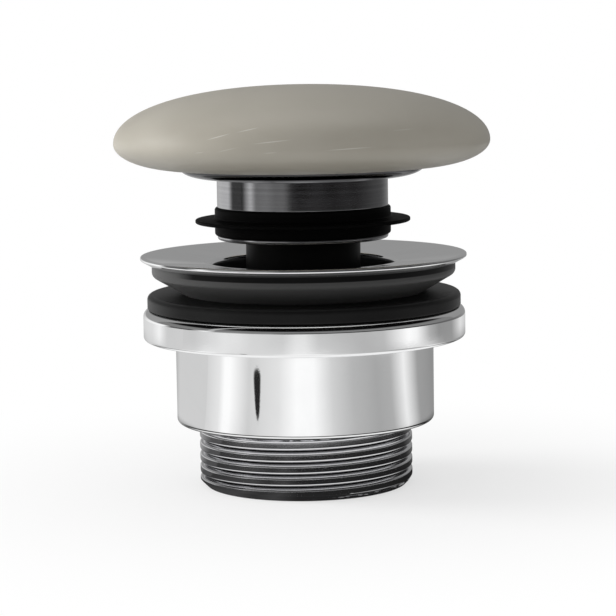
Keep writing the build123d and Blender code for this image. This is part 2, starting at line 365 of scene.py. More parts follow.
# mould grain: matt pitting and slow tint change of moulded rubber and plastic
def makeMouldGrain():
    tree, source, out = newGroup("mouldGrain", {"Grain": 2600.0, "Patch": 70.0}, ["Height", "Tint", "Bloom"])
    place = placeOf(tree, -900, -300)
    pits = noise(tree, -450, 150, "3D", Vector=place, Scale=source["Grain"], Detail=3.0, Roughness=0.6)
    patch = noise(tree, -450, -150, "3D", Vector=place, Scale=source["Patch"], Detail=4.0, Roughness=0.55)
    cells = addNode(tree, "ShaderNodeTexVoronoi", -450, -450)
    setInputs(cells, Vector=place, Scale=source["Grain"])
    specks = ramp(tree, -150, -450, cells.outputs["Distance"], [(0.0, 1.0), (0.16, 0.0)])
    setInputs(out, Height=pits, Tint=patch, Bloom=specks)
    return tree


# zone mask: a band of the turned piece, between two radii and two heights in metres, with a soft left end
def makeZoneMask(steep=15000.0, soft=300.0):
    edges = {"Inner": 0.0, "Outer": 1.0, "Low": -1.0, "High": 1.0, "Left": -1.0}
    tree, source, out = newGroup("zoneMask", edges, ["Mask"])
    place = splitXYZ(tree, -950, -300, placeOf(tree, -1100, -300))
    flat = setInputs(addNode(tree, "ShaderNodeCombineXYZ", -800, -450), X=place["X"], Y=place["Y"])
    outward = measure(tree, -650, -450, "LENGTH", flat.outputs[0])
    mask = 1.0
    for i, (larger, smaller, slope) in enumerate([
        (outward, source["Inner"], steep), (source["Outer"], outward, steep),
        (place["Z"], source["Low"], steep), (source["High"], place["Z"], steep),
        (place["X"], source["Left"], soft),
    ]):
        inside = calc(tree, -350, 300 - 180 * i, "SUBTRACT", larger, smaller)
        edge = calc(tree, -150, 300 - 180 * i, "MULTIPLY", inside, slope, use_clamp=True)
        mask = calc(tree, 100 + 120 * i, 200 - 150 * i, "MULTIPLY", mask, edge)
    setInputs(out, Mask=mask)
    return tree


handlingMarks = makeHandlingMarks()
turningLines = makeTurningLines()
mouldGrain = makeMouldGrain()
zoneMask = makeZoneMask()
print("shared surface effects ready")


def newFinish(name):
    finish = bpy.data.materials.new(name)
    finish.use_nodes = True
    tree = finish.node_tree
    tree.nodes.clear()
    surface = addNode(tree, "ShaderNodeBsdfPrincipled", 300, 0)
    setInputs(addNode(tree, "ShaderNodeOutputMaterial", 600, 0), Surface=surface.outputs[0])
    return finish, tree, surface


def bumpFrom(tree, surface, height, look):
    bump = addNode(tree, "ShaderNodeBump", 50, -350)
    setInputs(bump, Strength=look["bump"], Distance=look["bumpDepth"], Height=height)
    setInputs(surface, Normal=bump.outputs[0])


# sizes in mm
def zoneOf(tree, x, y, inner, outer, low, high, left=-1000.0):
    sizes = {"Inner": inner, "Outer": outer, "Low": low, "High": high, "Left": left}
    return useGroup(tree, zoneMask, x, y, **{label: size * mm for label, size in sizes.items()})["Mask"]


chromeLook = {
    "bright": (0.98, 0.983, 0.986),
    "smudged": (0.93, 0.935, 0.94),
    "roughLow": 0.03,
    "roughHigh": 0.085,
    "smudgeSize": 45.0,
    "speckleSize": 700.0,
    "bump": 0.02,
    "bumpDepth": 0.00003,
    "zones": [],
}


# each zone is (inner, outer, low, high in mm, shade, roughness), laid over the polished metal in turn
def chromeFinish(name, look, coolness=1.02):
    finish, tree, surface = newFinish(name)
    marks = useGroup(tree, handlingMarks, -500, 0, Size=look["smudgeSize"], Fine_Size=look["speckleSize"])
    colour = mixOf(tree, -100, 200, marks["Smudge"], look["bright"], look["smudged"])
    rough = spread(tree, -100, -50, marks["Smudge"], look["roughLow"], look["roughHigh"])
    for i, (inner, outer, low, high, tone, grit) in enumerate(look["zones"]):
        y = 600 + 420 * i
        zone = zoneOf(tree, -500, y, inner, outer, low, high)
        colour = mixOf(tree, 0, y, zone, colour, (tone, tone, tone * coolness))
        rough = mixOf(tree, 0, y - 200, zone, rough, grit, kind="FLOAT")
    setInputs(surface, Base_Color=colour, Roughness=rough, Metallic=1.0)
    bumpFrom(tree, surface, marks["Speckle"], look)
    return finish


turnedLook = {
    "light": (0.44, 0.44, 0.45),
    "dark": (0.32, 0.32, 0.33),
    "roughLow": 0.09,
    "roughHigh": 0.14,
    "anisotropy": 0.5,
    "grooveTurn": 0.25,
    "lines": 7000.0,
    "bump": 0.15,
    "bumpDepth": 0.00004,
}


def turnedFinish(name, look):
    finish, tree, surface = newFinish(name)
    lines = useGroup(tree, turningLines, -500, 0, Lines=look["lines"])
    colour = mixOf(tree, -100, 200, lines["Shade"], look["dark"], look["light"])
    rough = spread(tree, -100, -50, lines["Shade"], look["roughLow"], look["roughHigh"])
    aroundAxis = addNode(tree, "ShaderNodeTangent", 50, -550, direction_type="RADIAL", axis="Z")
    setInputs(surface, Base_Color=colour, Roughness=rough, Metallic=1.0, Tangent=aroundAxis.outputs[0],
              Anisotropic=look["anisotropy"], Anisotropic_Rotation=look["grooveTurn"])
    bumpFrom(tree, surface, lines["Height"], look)
    return finish


mouldedLook = {"patch": 60.0, "bumpDepth": 0.00006, "sheen": 0.0, "zones": []}


# each zone is (inner, outer, low, high, left end in mm, shade)
def mouldedFinish(name, look):
    finish, tree, surface = newFinish(name)
    grain = useGroup(tree, mouldGrain, -600, 0, Grain=look["grain"], Patch=look["patch"])
    colour = mixOf(tree, -200, 250, grain["Tint"], look["dark"], look["light"])
    dust = calc(tree, -200, 450, "MULTIPLY", grain["Bloom"], look["bloomShare"])
    colour = mixOf(tree, 50, 250, dust, colour, look["bloom"])
    for i, (*sizes, tone) in enumerate(look["zones"]):
        y = 700 + 300 * i
        colour = mixOf(tree, 50, y, zoneOf(tree, -200, y, *sizes), colour, tone)
    rough = spread(tree, -100, -50, grain["Tint"], look["roughLow"], look["roughHigh"])
    setInputs(surface, Base_Color=colour, Roughness=rough,
              Specular_IOR_Level=look["gloss"], Sheen_Weight=look["sheen"])
    bumpFrom(tree, surface, grain["Height"], look)
    return finish


sealRubber = mouldedFinish("sealRubber", {
    **mouldedLook, "dark": 0.0012, "light": 0.0024, "bloom": 0.006, "bloomShare": 0.15,
    "roughLow": 0.42, "roughHigh": 0.6, "bump": 0.1, "grain": 2400.0, "gloss": 0.03,
})
gasketRubber = mouldedFinish("gasketRubber", {
    **mouldedLook, "dark": 0.004, "light": 0.008, "bloom": 0.02, "bloomShare": 0.25,
    "roughLow": 0.32, "roughHigh": 0.46, "bump": 0.12, "grain": 2200.0, "gloss": 0.2,
})
washerFoot, washerTop = sizesIn(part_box("cone_washer"))[1:]
washerRubber = mouldedFinish("washerRubber", {
    **mouldedLook, "dark": 0.042, "light": (0.056, 0.056, 0.055), "bloom": 0.08, "bloomShare": 0.2,
    "roughLow": 0.30, "roughHigh": 0.42, "bump": 0.10, "grain": 2000.0, "gloss": 0.14, "sheen": 0.03,
    "zones": [
        (28.6, 31.0, washerTop - 1.15, washerTop + 0.1, -24.0, 0.001),  # shaded under the rim
        (20.0, 28.6, washerFoot - 0.1, washerTop - 2.0, -40.0, 0.05),  # cone: one even painted tone, set for the light on its downward face
    ],
})
sleevePlastic = mouldedFinish("sleevePlastic", {
    **mouldedLook, "dark": 0.0015, "light": 0.003, "bloom": 0.006, "bloomShare": 0.1,
    "roughLow": 0.34, "roughHigh": 0.48, "bump": 0.08, "grain": 3000.0, "gloss": 0.1,
})
naturalPlastic = mouldedFinish("naturalPlastic", {
    **mouldedLook, "dark": (0.68, 0.67, 0.62), "light": (0.78, 0.77, 0.72), "bloom": (0.85, 0.85, 0.8),
    "bloomShare": 0.1, "roughLow": 0.35, "roughHigh": 0.5, "bump": 0.05, "grain": 3000.0, "gloss": 0.5,
})
turnedSteel = turnedFinish("turnedSteel", turnedLook)
screwSteel = turnedFinish("screwSteel", {**turnedLook, "light": 0.62, "dark": 0.45, "lines": 4000.0})
# chrome of the plate painted near black: a painted dark reflection of the seal and the shade under the cap
plateChromePaintedDark = chromeFinish("plateChromePaintedDark", {
    **chromeLook, "bright": (0.07, 0.07, 0.073), "smudged": (0.05, 0.05, 0.053),
    "roughLow": 0.10, "roughHigh": 0.18,
})
print("metal, rubber and plastic finishes ready")


glazeLook = {
    "body": (0.305, 0.286, 0.243),
    "pale": (0.340, 0.320, 0.276),
    "glint": (0.58, 0.56, 0.52),
    "roughLow": 0.36,
    "roughHigh": 0.48,
    "gloss": 0.4,
    "smudgeSize": 26.0,
    "speckleSize": 1400.0,
    "bump": 0.04,
    "bumpDepth": 0.00005,
    "glintsBefore": -5.0,  # mm along Y, so that they stay on the front
    "glintCore": 0.2,
    # painted glints: thin pale streaks that stand in for reflections, on the front of the cap only
    "glints": [
        # across, up, length, tilt in degrees, width (mm on the front of the cap), strength
        (-15.0, 69.75, 5.4, 15, 0.26, 0.55),
        (-9.6, 70.95, 5.0, 12, 0.24, 0.50),
        (-5.3, 68.85, 8.6, 5.7, 0.24, 0.55),
        (8.5, 67.40, 10.5, 2.7, 0.24, 0.50),
        (-13.4, 67.45, 4.9, 13, 0.22, 0.28),
        (-5.6, 66.90, 3.1, 4, 0.22, 0.35),
        (18.6, 70.45, 5.3, 3, 0.30, 0.16),
        (-18.5, 66.9, 2.2, 8, 0.22, 0.25),
    ],
}


def glazeFinish(name, look):
    finish, tree, surface = newFinish(name)
    marks = useGroup(tree, handlingMarks, -700, 0, Size=look["smudgeSize"], Fine_Size=look["speckleSize"])
    colour = mixOf(tree, -300, 250, marks["Smudge"], look["body"], look["pale"])
    rough = spread(tree, -100, -50, marks["Smudge"], look["roughLow"], look["roughHigh"])
    place = placeOf(tree, -1500, 700)
    # pale streaks painted on the front of the cap, standing in for reflections
    glinted = 0.0
    for i, (across, up, length, tilt, width, strength) in enumerate(look["glints"]):
        y = 700 + 260 * i
        size = (length * mm / 2, 1.0, width * mm / 2)
        turn = (0, math.radians(-tilt), 0)
        inGlint = markPlace(tree, -1100, y, place, (across * mm, 0, up * mm), turn, size)
        flat = joinNode(tree, "ShaderNodeVectorMath", -900, y, inGlint, (1, 0, 1), operation="MULTIPLY")
        away = measure(tree, -720, y, "LENGTH", flat.outputs["Vector"])
        glint = fade(tree, -540, y, away, 1.0, look["glintCore"], high=strength)
        glinted = calc(tree, -340, y, "MAXIMUM", glinted, glint)
    depth = splitXYZ(tree, -1350, 900, place)["Y"]
    front = calc(tree, -1100, 1000, "LESS_THAN", depth, look["glintsBefore"] * mm)
    glinted = calc(tree, -200, 700, "MULTIPLY", glinted, front)
    colour = mixOf(tree, 50, 300, glinted, colour, look["glint"])
    setInputs(surface, Base_Color=colour, Roughness=rough, Specular_IOR_Level=look["gloss"])
    bumpFrom(tree, surface, marks["Speckle"], look)
    return finish


capGlaze = glazeFinish("capGlaze", glazeLook)
print("glaze ready")


# glazed cap: domed crown, tight rolled edge, flat foot
capForm = {
    "crownReach": 23.0, "shoulderReach": 6.2, "edgeHeight": 5.05, "footAcross": 48.0,
    "recess": 18.4, "recessDepth": 4.2, "recessEdge": 0.3,
}


def makeCap(form):
    half, bottom, top = sizesIn(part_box("ceramic_cap"))
    widest = bottom + form["edgeHeight"]
    shoulder = widest + form["shoulderReach"]
    foot = form["footAcross"] / 2
    inner = form["recess"] / 2
    roof = bottom + form["recessDepth"]
    crown = bezierRun((0, top), (form["crownReach"], top), (half, shoulder), (half, widest), steps=44)
    edge = ovalRun((foot, widest), half - foot, form["edgeHeight"], fromDeg=0, toDeg=-90, steps=30)[1:]
    slant = form["recessEdge"]
    under = [(inner + slant, bottom), (inner, bottom + slant), (inner, roof), (0, roof)]
    return turnPiece("glazedCap", crown + edge + under, steps=256, closed=False)


seat(makeCap(capForm), "plug", capGlaze, "cap_glaze", "ceramic_cap")


# plate under the cap, rounded below
plateForm = {
    "flatAcross": 34.0, "thickness": 2.0, "boss": 18.0, "hole": 6.3, "rimEndDeg": -4, "rimEdge": 0.12,
}


def makePlate(form):
    half, bottom, bossTop = sizesIn(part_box("cap_plate"))
    top = bottom + form["thickness"]
    flat = form["flatAcross"] / 2
    boss = form["boss"] / 2
    hole = form["hole"] / 2
    rim = ovalRun((flat, top), half - flat, form["thickness"], fromDeg=-90, toDeg=form["rimEndDeg"], steps=18)
    upper = [(half - form["rimEdge"], top), (boss, top), (boss, bossTop), (hole, bossTop)]
    return turnPiece("capPlate", [(hole, bottom)] + rim + upper, steps=192)


seat(makePlate(plateForm), "plug", plateChromePaintedDark, "bright_chrome", "cap_plate")


# turned plug with its seal groove
plugForm = {
    "bore": 24.8, "roof": 2.5, "groove": 29.6, "hole": 6.3, "land": 0.8, "sealHeight": 5.5, "edge": 0.5,
    "boreRound": 0.25, "landRound": 0.08, "shoulderRound": 0.12, "topRound": 0.15, "roofRound": 0.4,
}


def makePlug(form):
    half, bottom, top = sizesIn(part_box("plug_body"))
    bore = form["bore"] / 2
    groove = form["groove"] / 2
    hole = form["hole"] / 2
    roof = top - form["roof"]
    sealLow = bottom + form["land"]
    sealHigh = sealLow + form["sealHeight"]
    outline = softOutline([
        (bore, bottom, form["boreRound"]), (half, bottom, form["edge"]), (half, sealLow, form["landRound"]),
        (groove, sealLow), (groove, sealHigh), (half, sealHigh, form["shoulderRound"]),
        (half, top, form["topRound"]), (hole, top), (hole, roof), (bore, roof, form["roofRound"]),
    ])
    return turnPiece("turnedPlug", outline, steps=192)


seat(makePlug(plugForm), "plug", turnedSteel, "plug_steel", "plug_body")


# lip seal
sealForm = {
    "inner": 29.6, "body": 34.4, "edge": 0.55, "lipUp": 2.8, "rootThick": 1.1, "rootRound": 0.35,
    "tipThick": 0.7, "tipRound": 0.25,
}


def makeSeal(form):
    tip, bottom, top = sizesIn(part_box("plug_seal"))
    lip = bottom + form["lipUp"]
    root = form["rootThick"] / 2
    end = form["tipThick"] / 2
    inner = form["inner"] / 2
    body = form["body"] / 2
    outline = softOutline([
        (inner, bottom), (body, bottom, form["edge"]), (body, lip - root, form["rootRound"]),
        (tip, lip - end, form["tipRound"]), (tip, lip + end, form["tipRound"]),
        (body, lip + root, form["rootRound"]), (body, top, form["edge"]), (inner, top),
    ])
    return turnPiece("lipSeal", outline, steps=192)


seat(makeSeal(sealForm), "plug", sealRubber, "black_rubber", "plug_seal")
print("cap and plug made")


# cartridge sleeve, stepped inside, with a post for the fixing screw
sleeveForm = {
    "upperBore": 18.6, "lowerBore": 16.4, "shoulderUp": 12.0, "floor": 2.0, "post": 6.6, "postUp": 9.5,
    "pilot": 4.0, "footRound": 0.3, "topRound": 0.5, "boreRound": 0.1, "postRound": 0.4,
}


def makeSleeve(form):
    half, bottom, top = sizesIn(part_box("cartridge_sleeve"))
    upper = form["upperBore"] / 2
    lower = form["lowerBore"] / 2
    post = form["post"] / 2
    pilot = form["pilot"] / 2
    shoulder = bottom + form["shoulderUp"]
    floor = bottom + form["floor"]
    postTop = bottom + form["postUp"]
    outline = softOutline([
        (pilot, bottom), (half, bottom, form["footRound"]), (half, top, form["topRound"]),
        (upper, top, form["boreRound"]), (upper, shoulder), (lower, shoulder), (lower, floor), (post, floor),
        (post, postTop, form["postRound"]), (pilot, postTop),
    ])
    return turnPiece("cartridgeSleeve", outline, steps=160)


seat(makeSleeve(sleeveForm), "waste_top", sleevePlastic, "black_plastic", "cartridge_sleeve")


# return spring: round wire, end coils closed
springForm = {
    "meanAcross": 8.6, "wire": 1.0, "turns": 6.0, "stepsPerTurn": 40, "sides": 14,
    "closedShare": 0.13, "closedRise": 0.45, "stroke": 7.4,
}


def makeSpring(form):
    bottom, top = sizesIn(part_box("return_spring"))[1:]
    wire = form["wire"] / 2
    climb = top - bottom - 2 * wire
    share = form["closedShare"]
    flatRise = 2 * wire * form["closedRise"]
    count = int(form["turns"] * form["stepsPerTurn"])
    bm = bmesh.new()
    rings = []
    for k in range(count + 1):
        t = k / count
        if t < share:
            rise = flatRise * t / share
        elif t > 1 - share:
            rise = climb - flatRise * (1 - t) / share
        else:
            rise = flatRise + (climb - 2 * flatRise) * ((t - share) / (1 - 2 * share))
        angle = fullTurn * form["turns"] * t
        outward = Vector((math.cos(angle), math.sin(angle), 0))
        centre = outward * form["meanAcross"] / 2 + Vector((0, 0, bottom + wire + rise))
        ring = []
        for s in range(form["sides"]):
            a = fullTurn * s / form["sides"]
            skin = centre + outward * wire * math.cos(a) + Vector((0, 0, wire * math.sin(a)))
            ring.append(bm.verts.new(skin * mm))
        rings.append(ring)
    for first, second in zip(rings, rings[1:]):
        for s in range(form["sides"]):
            n = (s + 1) % form["sides"]
            bm.faces.new((first[s], second[s], second[n], first[n]))
    bm.faces.new(rings[0])
    bm.faces.new(list(reversed(rings[-1])))
    bmesh.ops.recalc_face_normals(bm, faces=bm.faces)
    spring = finishMesh("returnSpring", bm, sharpDeg=40)
    return spring, (top - bottom - form["stroke"]) / (top - bottom), bottom * mm


spring, springKeep, springFoot = makeSpring(springForm)
seat(spring, "waste_top", screwSteel, "screw_steel", "return_spring")
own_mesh(spring)
print("cartridge made")


# flange: rolled rim, shallow dish, round throat, threaded barrel
flangeForm = {
    "seat": 60.4, "seatUp": 27.15, "seatRound": 0.25, "rimUp": 28.1, "rimRound": 0.26, "rimFlat": 0.9,
    "rimInnerRound": 0.8, "dishDepth": 1.3, "dishLow": 38.6, "dishRound": 2.0, "throat": 35.6,
    "throatRound": 1.1, "throatEdge": 0.3, "barrel": 41.91, "barrelChamfer": 0.8, "neck": 0.6,
    "neckRound": 0.3, "threadStop": 1.2,
}
threadForm = {
    "crest": 20.955, "depth": 0.88, "pitch": 2.309, "crestHalf": 0.42, "crestRound": 0.48, "flankDeg": 64,
}
barrelThread = {**threadForm, "frontCrest": 20.05}


def makeFlange(form, thread):
    half, bottom, top = sizesIn(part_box("waste_flange"))
    seatZ = bottom + form["seatUp"]
    rimZ = bottom + form["rimUp"]
    dishZ = top - form["dishDepth"]
    throat = form["throat"] / 2
    barrel = form["barrel"] / 2
    edge = form["throatEdge"]
    upper = softOutline([
        (barrel, seatZ - form["neck"]), (barrel, seatZ, form["neckRound"]),
        (form["seat"] / 2, seatZ, form["seatRound"]), (half, rimZ, form["rimRound"]),
        (half, top, form["rimRound"]), (half - form["rimFlat"], top, form["rimInnerRound"]),
        (form["dishLow"] / 2, dishZ, form["dishRound"]), (throat, dishZ, form["throatRound"]),
        (throat, bottom + edge), (throat + edge, bottom), (barrel - form["barrelChamfer"], bottom),
    ], closed=False, arcSteps=9)
    low = bottom + form["barrelChamfer"]
    high = seatZ - form["threadStop"]
    full = {**thread, "low": low, "high": high, "cutFrom": low}
    return turnPiece("sprungFlange", upper + [(barrel, low), (barrel, high)], steps=224, thread=full)


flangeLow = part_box("waste_flange")[0].z / mm
flangeSeat = flangeLow + flangeForm["seatUp"]
flangeChrome = chromeFinish("flangeChrome", {**chromeLook, "zones": [
    (19.0, 21.4, flangeLow - 1, flangeSeat - 0.8, 0.22, 0.25),  # threads of the barrel, darker: partly a duller finish, partly painted dark reflection
    (0.0, 18.3, flangeLow - 1, flangeSeat - 0.4, 0.10, 0.38),  # painted shade inside the throat and barrel
]})
seat(makeFlange(flangeForm, barrelThread), "waste_top", flangeChrome, "bright_chrome", "waste_flange")


# bridge across the barrel: four arms and a hub, edges softened
bridgeForm = {
    "under": 7.9, "height": 3.5, "arm": 2.8, "hub": 12.0, "hole": 4.3, "reach": 18.6, "sunk": 0.4,
    "soften": 0.35, "softenOver": 6.0, "holeRound": 0.2, "footRound": 0.4, "topRound": 0.1,
}


def makeBridge(form):
    low = flangeLow + form["under"]
    high = low + form["height"]
    hub = form["hub"] / 2
    hole = form["hole"] / 2
    hubPiece = turnPiece("bridgeHub", softOutline([
        (hole, low, form["holeRound"]), (hub, low, form["footRound"]),
        (hub, high, form["topRound"]), (hole, high),
    ]), steps=96)
    bm = bmesh.new()
    start = hub - form["sunk"]
    length = form["reach"] - start
    middle = Vector((start + length / 2, 0, (low + high) / 2)) * mm
    size = Matrix.Diagonal((length * mm, form["arm"] * mm, form["height"] * mm, 1))
    for quarter in range(4):
        made = bmesh.ops.create_cube(bm, size=1.0)
        spin = Matrix.Rotation(math.radians(45 + 90 * quarter), 4, "Z")
        bmesh.ops.transform(bm, matrix=spin @ Matrix.Translation(middle) @ size, verts=made["verts"])
    longEdges = [e for e in bm.edges if (e.verts[0].co - e.verts[1].co).length > form["softenOver"] * mm]
    bmesh.ops.bevel(bm, geom=longEdges, offset=form["soften"] * mm, segments=3, affect="EDGES", profile=0.5)
    return hubPiece, finishMesh("bridgeArms", bm, sharpDeg=40)


# the bridge's chrome painted dark and rough: painted shade inside the barrel
bridgeChromePaintedDark = chromeFinish("bridgeChromePaintedDark", {
    **chromeLook, "bright": (0.16, 0.16, 0.165), "smudged": (0.10, 0.10, 0.105),
    "roughLow": 0.3, "roughHigh": 0.42,
})
for bridgePiece in makeBridge(bridgeForm):
    seat(bridgePiece, "waste_top", bridgeChromePaintedDark, "bright_chrome")
print("flange made")


# cone washer and under-basin gasket
washerForm = {"bore": 42.21, "foot": 47.0, "lip": 2.2, "lipRound": 0.25, "breakRound": 1.2, "footRound": 0.4}
gasketForm = {"bore": 42.21, "upperRound": 1.0, "lowerRound": 0.4}


def makeWasher(form):
    half, bottom, top = sizesIn(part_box("cone_washer"))
    bore = form["bore"] / 2
    outline = softOutline([
        (bore, bottom), (form["foot"] / 2, bottom, form["footRound"]),
        (half, top - form["lip"], form["breakRound"]), (half, top, form["lipRound"]), (bore, top),
    ])
    return turnPiece("coneWasher", outline, steps=224)


def makeGasket(form):
    half, bottom, top = sizesIn(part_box("under_gasket"))
    bore = form["bore"] / 2
    outline = softOutline([
        (bore, bottom), (half, bottom, form["lowerRound"]), (half, top, form["upperRound"]), (bore, top),
    ], arcSteps=10)
    return turnPiece("underGasket", outline, steps=224)


seat(makeWasher(washerForm), "waste_top", washerRubber, "grey_rubber", "cone_washer")
seat(makeGasket(gasketForm), "gasket", gasketRubber, "black_rubber", "under_gasket")
print("rubber rings made")


# lower body: ring, cup and threaded tail, with heights from the end of the tail
bodyForm = {
    "tail": 41.91, "tailUp": 12.6, "tailChamfer": 1.2, "chamferRows": 8, "relief": 39.9, "reliefUp": 0.5,
    "threadStop": 0.3, "slopeWide": 0.5, "slopeFrom": -0.1, "slopeTo": 0.3, "reliefRound": 0.25,
    "outlet": 34.0, "outletRound": 0.3, "outletEdge": 0.4,
    "cup": 50.6, "cupUp": 29.0, "cupRound": 0.8, "seamRound": 0.3, "ringUpper": 1.5, "ringLower": 0.7,
    "bore": 42.21, "boreRound": 0.3, "floorUp": 15.2,
}
tailThread = {**threadForm, "frontCrest": 6.2}


def makeBody(form, thread):
    half, _, top = sizesIn(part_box("waste_body"))
    tail = form["tail"] / 2
    tailTop = form["tailUp"]
    chamfer = form["tailChamfer"]
    relief = form["relief"] / 2
    reliefLow = tailTop - form["reliefUp"]
    cup = form["cup"] / 2
    bore = form["bore"] / 2
    outlet = form["outlet"] / 2
    edge = form["outletEdge"]
    shares = [k / form["chamferRows"] for k in range(form["chamferRows"])]
    chamferRows = [(tail - chamfer * (1 - share), chamfer * share) for share in shares]
    high = reliefLow - form["threadStop"]
    upper = softOutline([
        (relief + form["slopeWide"], reliefLow + form["slopeFrom"]), (relief, reliefLow + form["slopeTo"]),
        (relief, tailTop, form["reliefRound"]), (cup, tailTop, form["cupRound"]),
        (cup, form["cupUp"], form["seamRound"]), (half, form["cupUp"], form["ringLower"]),
        (half, top, form["ringUpper"]), (bore, top, form["boreRound"]), (bore, form["floorUp"]),
        (outlet, form["floorUp"], form["outletRound"]), (outlet, edge), (outlet + edge, 0),
    ], closed=False, arcSteps=9)
    full = {**thread, "low": chamfer, "high": high, "cutFrom": -0.01}  # the chamfer is cut too
    outline = chamferRows + [(tail, chamfer), (tail, high)] + upper
    return turnPiece("wasteBody", outline, steps=256, thread=full)


bodyChrome = chromeFinish("bodyChrome", {**chromeLook, "zones": [
    (17.6, 21.4, -1.0, 12.5, 0.80, 0.10),  # threads of the tail, darker: partly a duller finish, partly painted dark reflection
    (17.6, 20.25, 1.2, 12.5, 0.06, 0.30),  # grooves: painted shade, and rougher
    (24.0, 25.4, 12.5, 13.0, 0.06, 0.20),  # shaded edge under the cup
    (25.2, 25.7, 28.72, 29.03, 0.50, 0.15),  # painted shade in the seam between cup and ring
    (0.0, 20.1, 11.2, 14.0, 0.10, 0.30),  # painted shade under the cup
    (0.0, 21.3, 13.5, 34.0, 0.30, 0.30),  # painted shade inside the cup
]})
seat(makeBody(bodyForm, tailThread), "lower_body", bodyChrome, "bright_chrome", "waste_body")
print("lower body made")

# solids that keep their own shape
for nodeName, finish in {
    "cartridge_bush": sleevePlastic,
    "index_ring": naturalPlastic,
    "plunger": naturalPlastic,
    "index_pins": screwSteel,
    "fixing_screw": screwSteel,
    "cap_screw": screwSteel,
}.items():
    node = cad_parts[nodeName]
    node.data.materials.clear()
    node.data.materials.append(finish)


# studio: soft key from the left, and walls, a panel and a table that only the metal shows
studioLook = {
    "surround": 0.80,
    "upperFrom": 0.02, "upperTo": 0.10,
    "band": 0.2, "bandTop": 0.36, "bandEnd": 0.52,  # dim band above the walls, all round
    "panelPlace": (0, 0.342, 0.94), "panelFrom": 0.915, "panelTo": 0.955, "panel": 1.0,
    "lampSize": 0.55, "lampTarget": (0, 0, 0.06),
    "lamps": {  # place, watts
        "keyLamp": ((-0.90, 0.12, 0.34), 8.6),
        "backLamp": ((-0.75, 0.25, 0.60), 0.5),
        "sideLamp": ((-0.82, -0.46, 0.20), 1.2),
    },
}
# tones by the turn round the object: 0 and 1 left, 0.25 front, 0.5 right, 0.75 back
studioTones = {
    "Table": [
        (0.0, 0.66), (0.04, 0.80), (0.055, 1.0), (0.07, 1.0), (0.12, 0.63), (0.19, 0.77), (0.23, 1.0),
        (0.27, 1.0), (0.31, 0.67), (0.36, 0.48), (0.42, 0.39), (0.46, 0.43), (0.505, 0.88), (0.56, 0.34),
        (0.66, 0.28), (0.76, 0.32), (0.86, 0.62),
    ],
    "Table Far": [
        (0.03, 0.59), (0.10, 0.80), (0.12, 0.79), (0.15, 0.69), (0.21, 0.63), (0.235, 0.80), (0.25, 0.80),
        (0.275, 0.59), (0.36, 0.48), (0.40, 0.50), (0.455, 1.0), (0.475, 0.92), (0.51, 0.43), (0.54, 0.28),
        (0.59, 0.30), (0.64, 0.75), (0.70, 0.57), (0.885, 0.74), (0.92, 0.92), (0.95, 0.62),
    ],
    # tones of the table close by: a painted shadow of the object, seen only in the metal
    "Table Near": [
        (0.0, 0.04), (0.13, 0.06), (0.165, 0.035), (0.20, 0.055), (0.235, 0.02), (0.50, 0.014), (0.56, 0.025),
        (0.75, 0.30), (0.87, 0.35), (0.95, 0.09),
    ],
    "Walls": [
        (0.01, 0.06), (0.047, 1.0), (0.07, 0.30), (0.115, 0.36), (0.15, 0.25), (0.18, 0.28), (0.21, 0.035),
        (0.24, 0.006), (0.30, 0.035), (0.36, 0.015), (0.41, 0.036), (0.46, 0.025), (0.55, 0.11), (0.61, 0.14),
        (0.68, 0.28), (0.75, 0.32), (0.85, 0.85), (0.925, 1.0), (0.95, 0.09),
    ],
    "Upper": [
        (0.045, 0.002), (0.052, 0.45), (0.064, 0.45), (0.072, 0.002), (0.59, 0.002), (0.62, 0.27),
        (0.89, 0.31), (0.915, 0.002),
    ],
}


def makeStudioSweep(tones):
    tree, source, out = newGroup("studioSweep", {"Vector": None}, tones)
    place = splitXYZ(tree, -700, 0, source["Vector"])
    turn = calc(tree, -500, 0, "ARCTAN2", place["Y"], place["X"])
    share = addNode(tree, "ShaderNodeMapRange", -320, 0)
    setInputs(share, Value=turn, From_Min=-math.pi, From_Max=math.pi)
    for i, (label, stops) in enumerate(tones.items()):
        tone = ramp(tree, -100, 500 - 280 * i, share.outputs["Result"], stops, smooth=False)
        feed(out.inputs[label], tone)
    return tree


studioSweep = makeStudioSweep(studioTones)


def makeSurround(look):
    world = bpy.data.worlds.new("studio")
    scene.world = world
    world.use_nodes = True
    tree = world.node_tree
    tree.nodes.clear()
    place = placeOf(tree, -800, 0, "Generated")
    sweep = useGroup(tree, studioSweep, -600, 0, Vector=place)
    up = splitXYZ(tree, -800, -250, place)["Z"]
    above = fade(tree, -600, -250, up, look["upperFrom"], look["upperTo"])
    toPanel = measure(tree, -800, -500, "DOT_PRODUCT", place, look["panelPlace"])
    inPanel = fade(tree, -600, -500, toPanel, look["panelFrom"], look["panelTo"])
    band = fade(tree, -600, -400, up, look["bandTop"], look["bandEnd"], low=look["band"], high=0.0)
    upper = calc(tree, -450, -400, "MAXIMUM", sweep["Upper"], band)
    room = mixOf(tree, -560, -50, above, sweep["Walls"], upper)
    room = mixOf(tree, -400, -50, inPanel, room, look["panel"])
    soft = shaderOf(tree, "ShaderNodeBackground", -250, 200, Color=1.0, Strength=look["surround"])
    shown = shaderOf(tree, "ShaderNodeBackground", -250, 0, Color=room)
    white = shaderOf(tree, "ShaderNodeBackground", -250, -200, Color=1.0)
    path = addNode(tree, "ShaderNodeLightPath", -600, 500).outputs
    forMetal = calc(tree, -250, 450, "MAXIMUM", path["Is Glossy Ray"], path["Is Transmission Ray"])
    lit = chooseShader(tree, 0, 200, forMetal, soft, shown)
    seen = chooseShader(tree, 200, 100, path["Is Camera Ray"], lit, white)
    setInputs(addNode(tree, "ShaderNodeOutputWorld", 400, 100), Surface=seen)
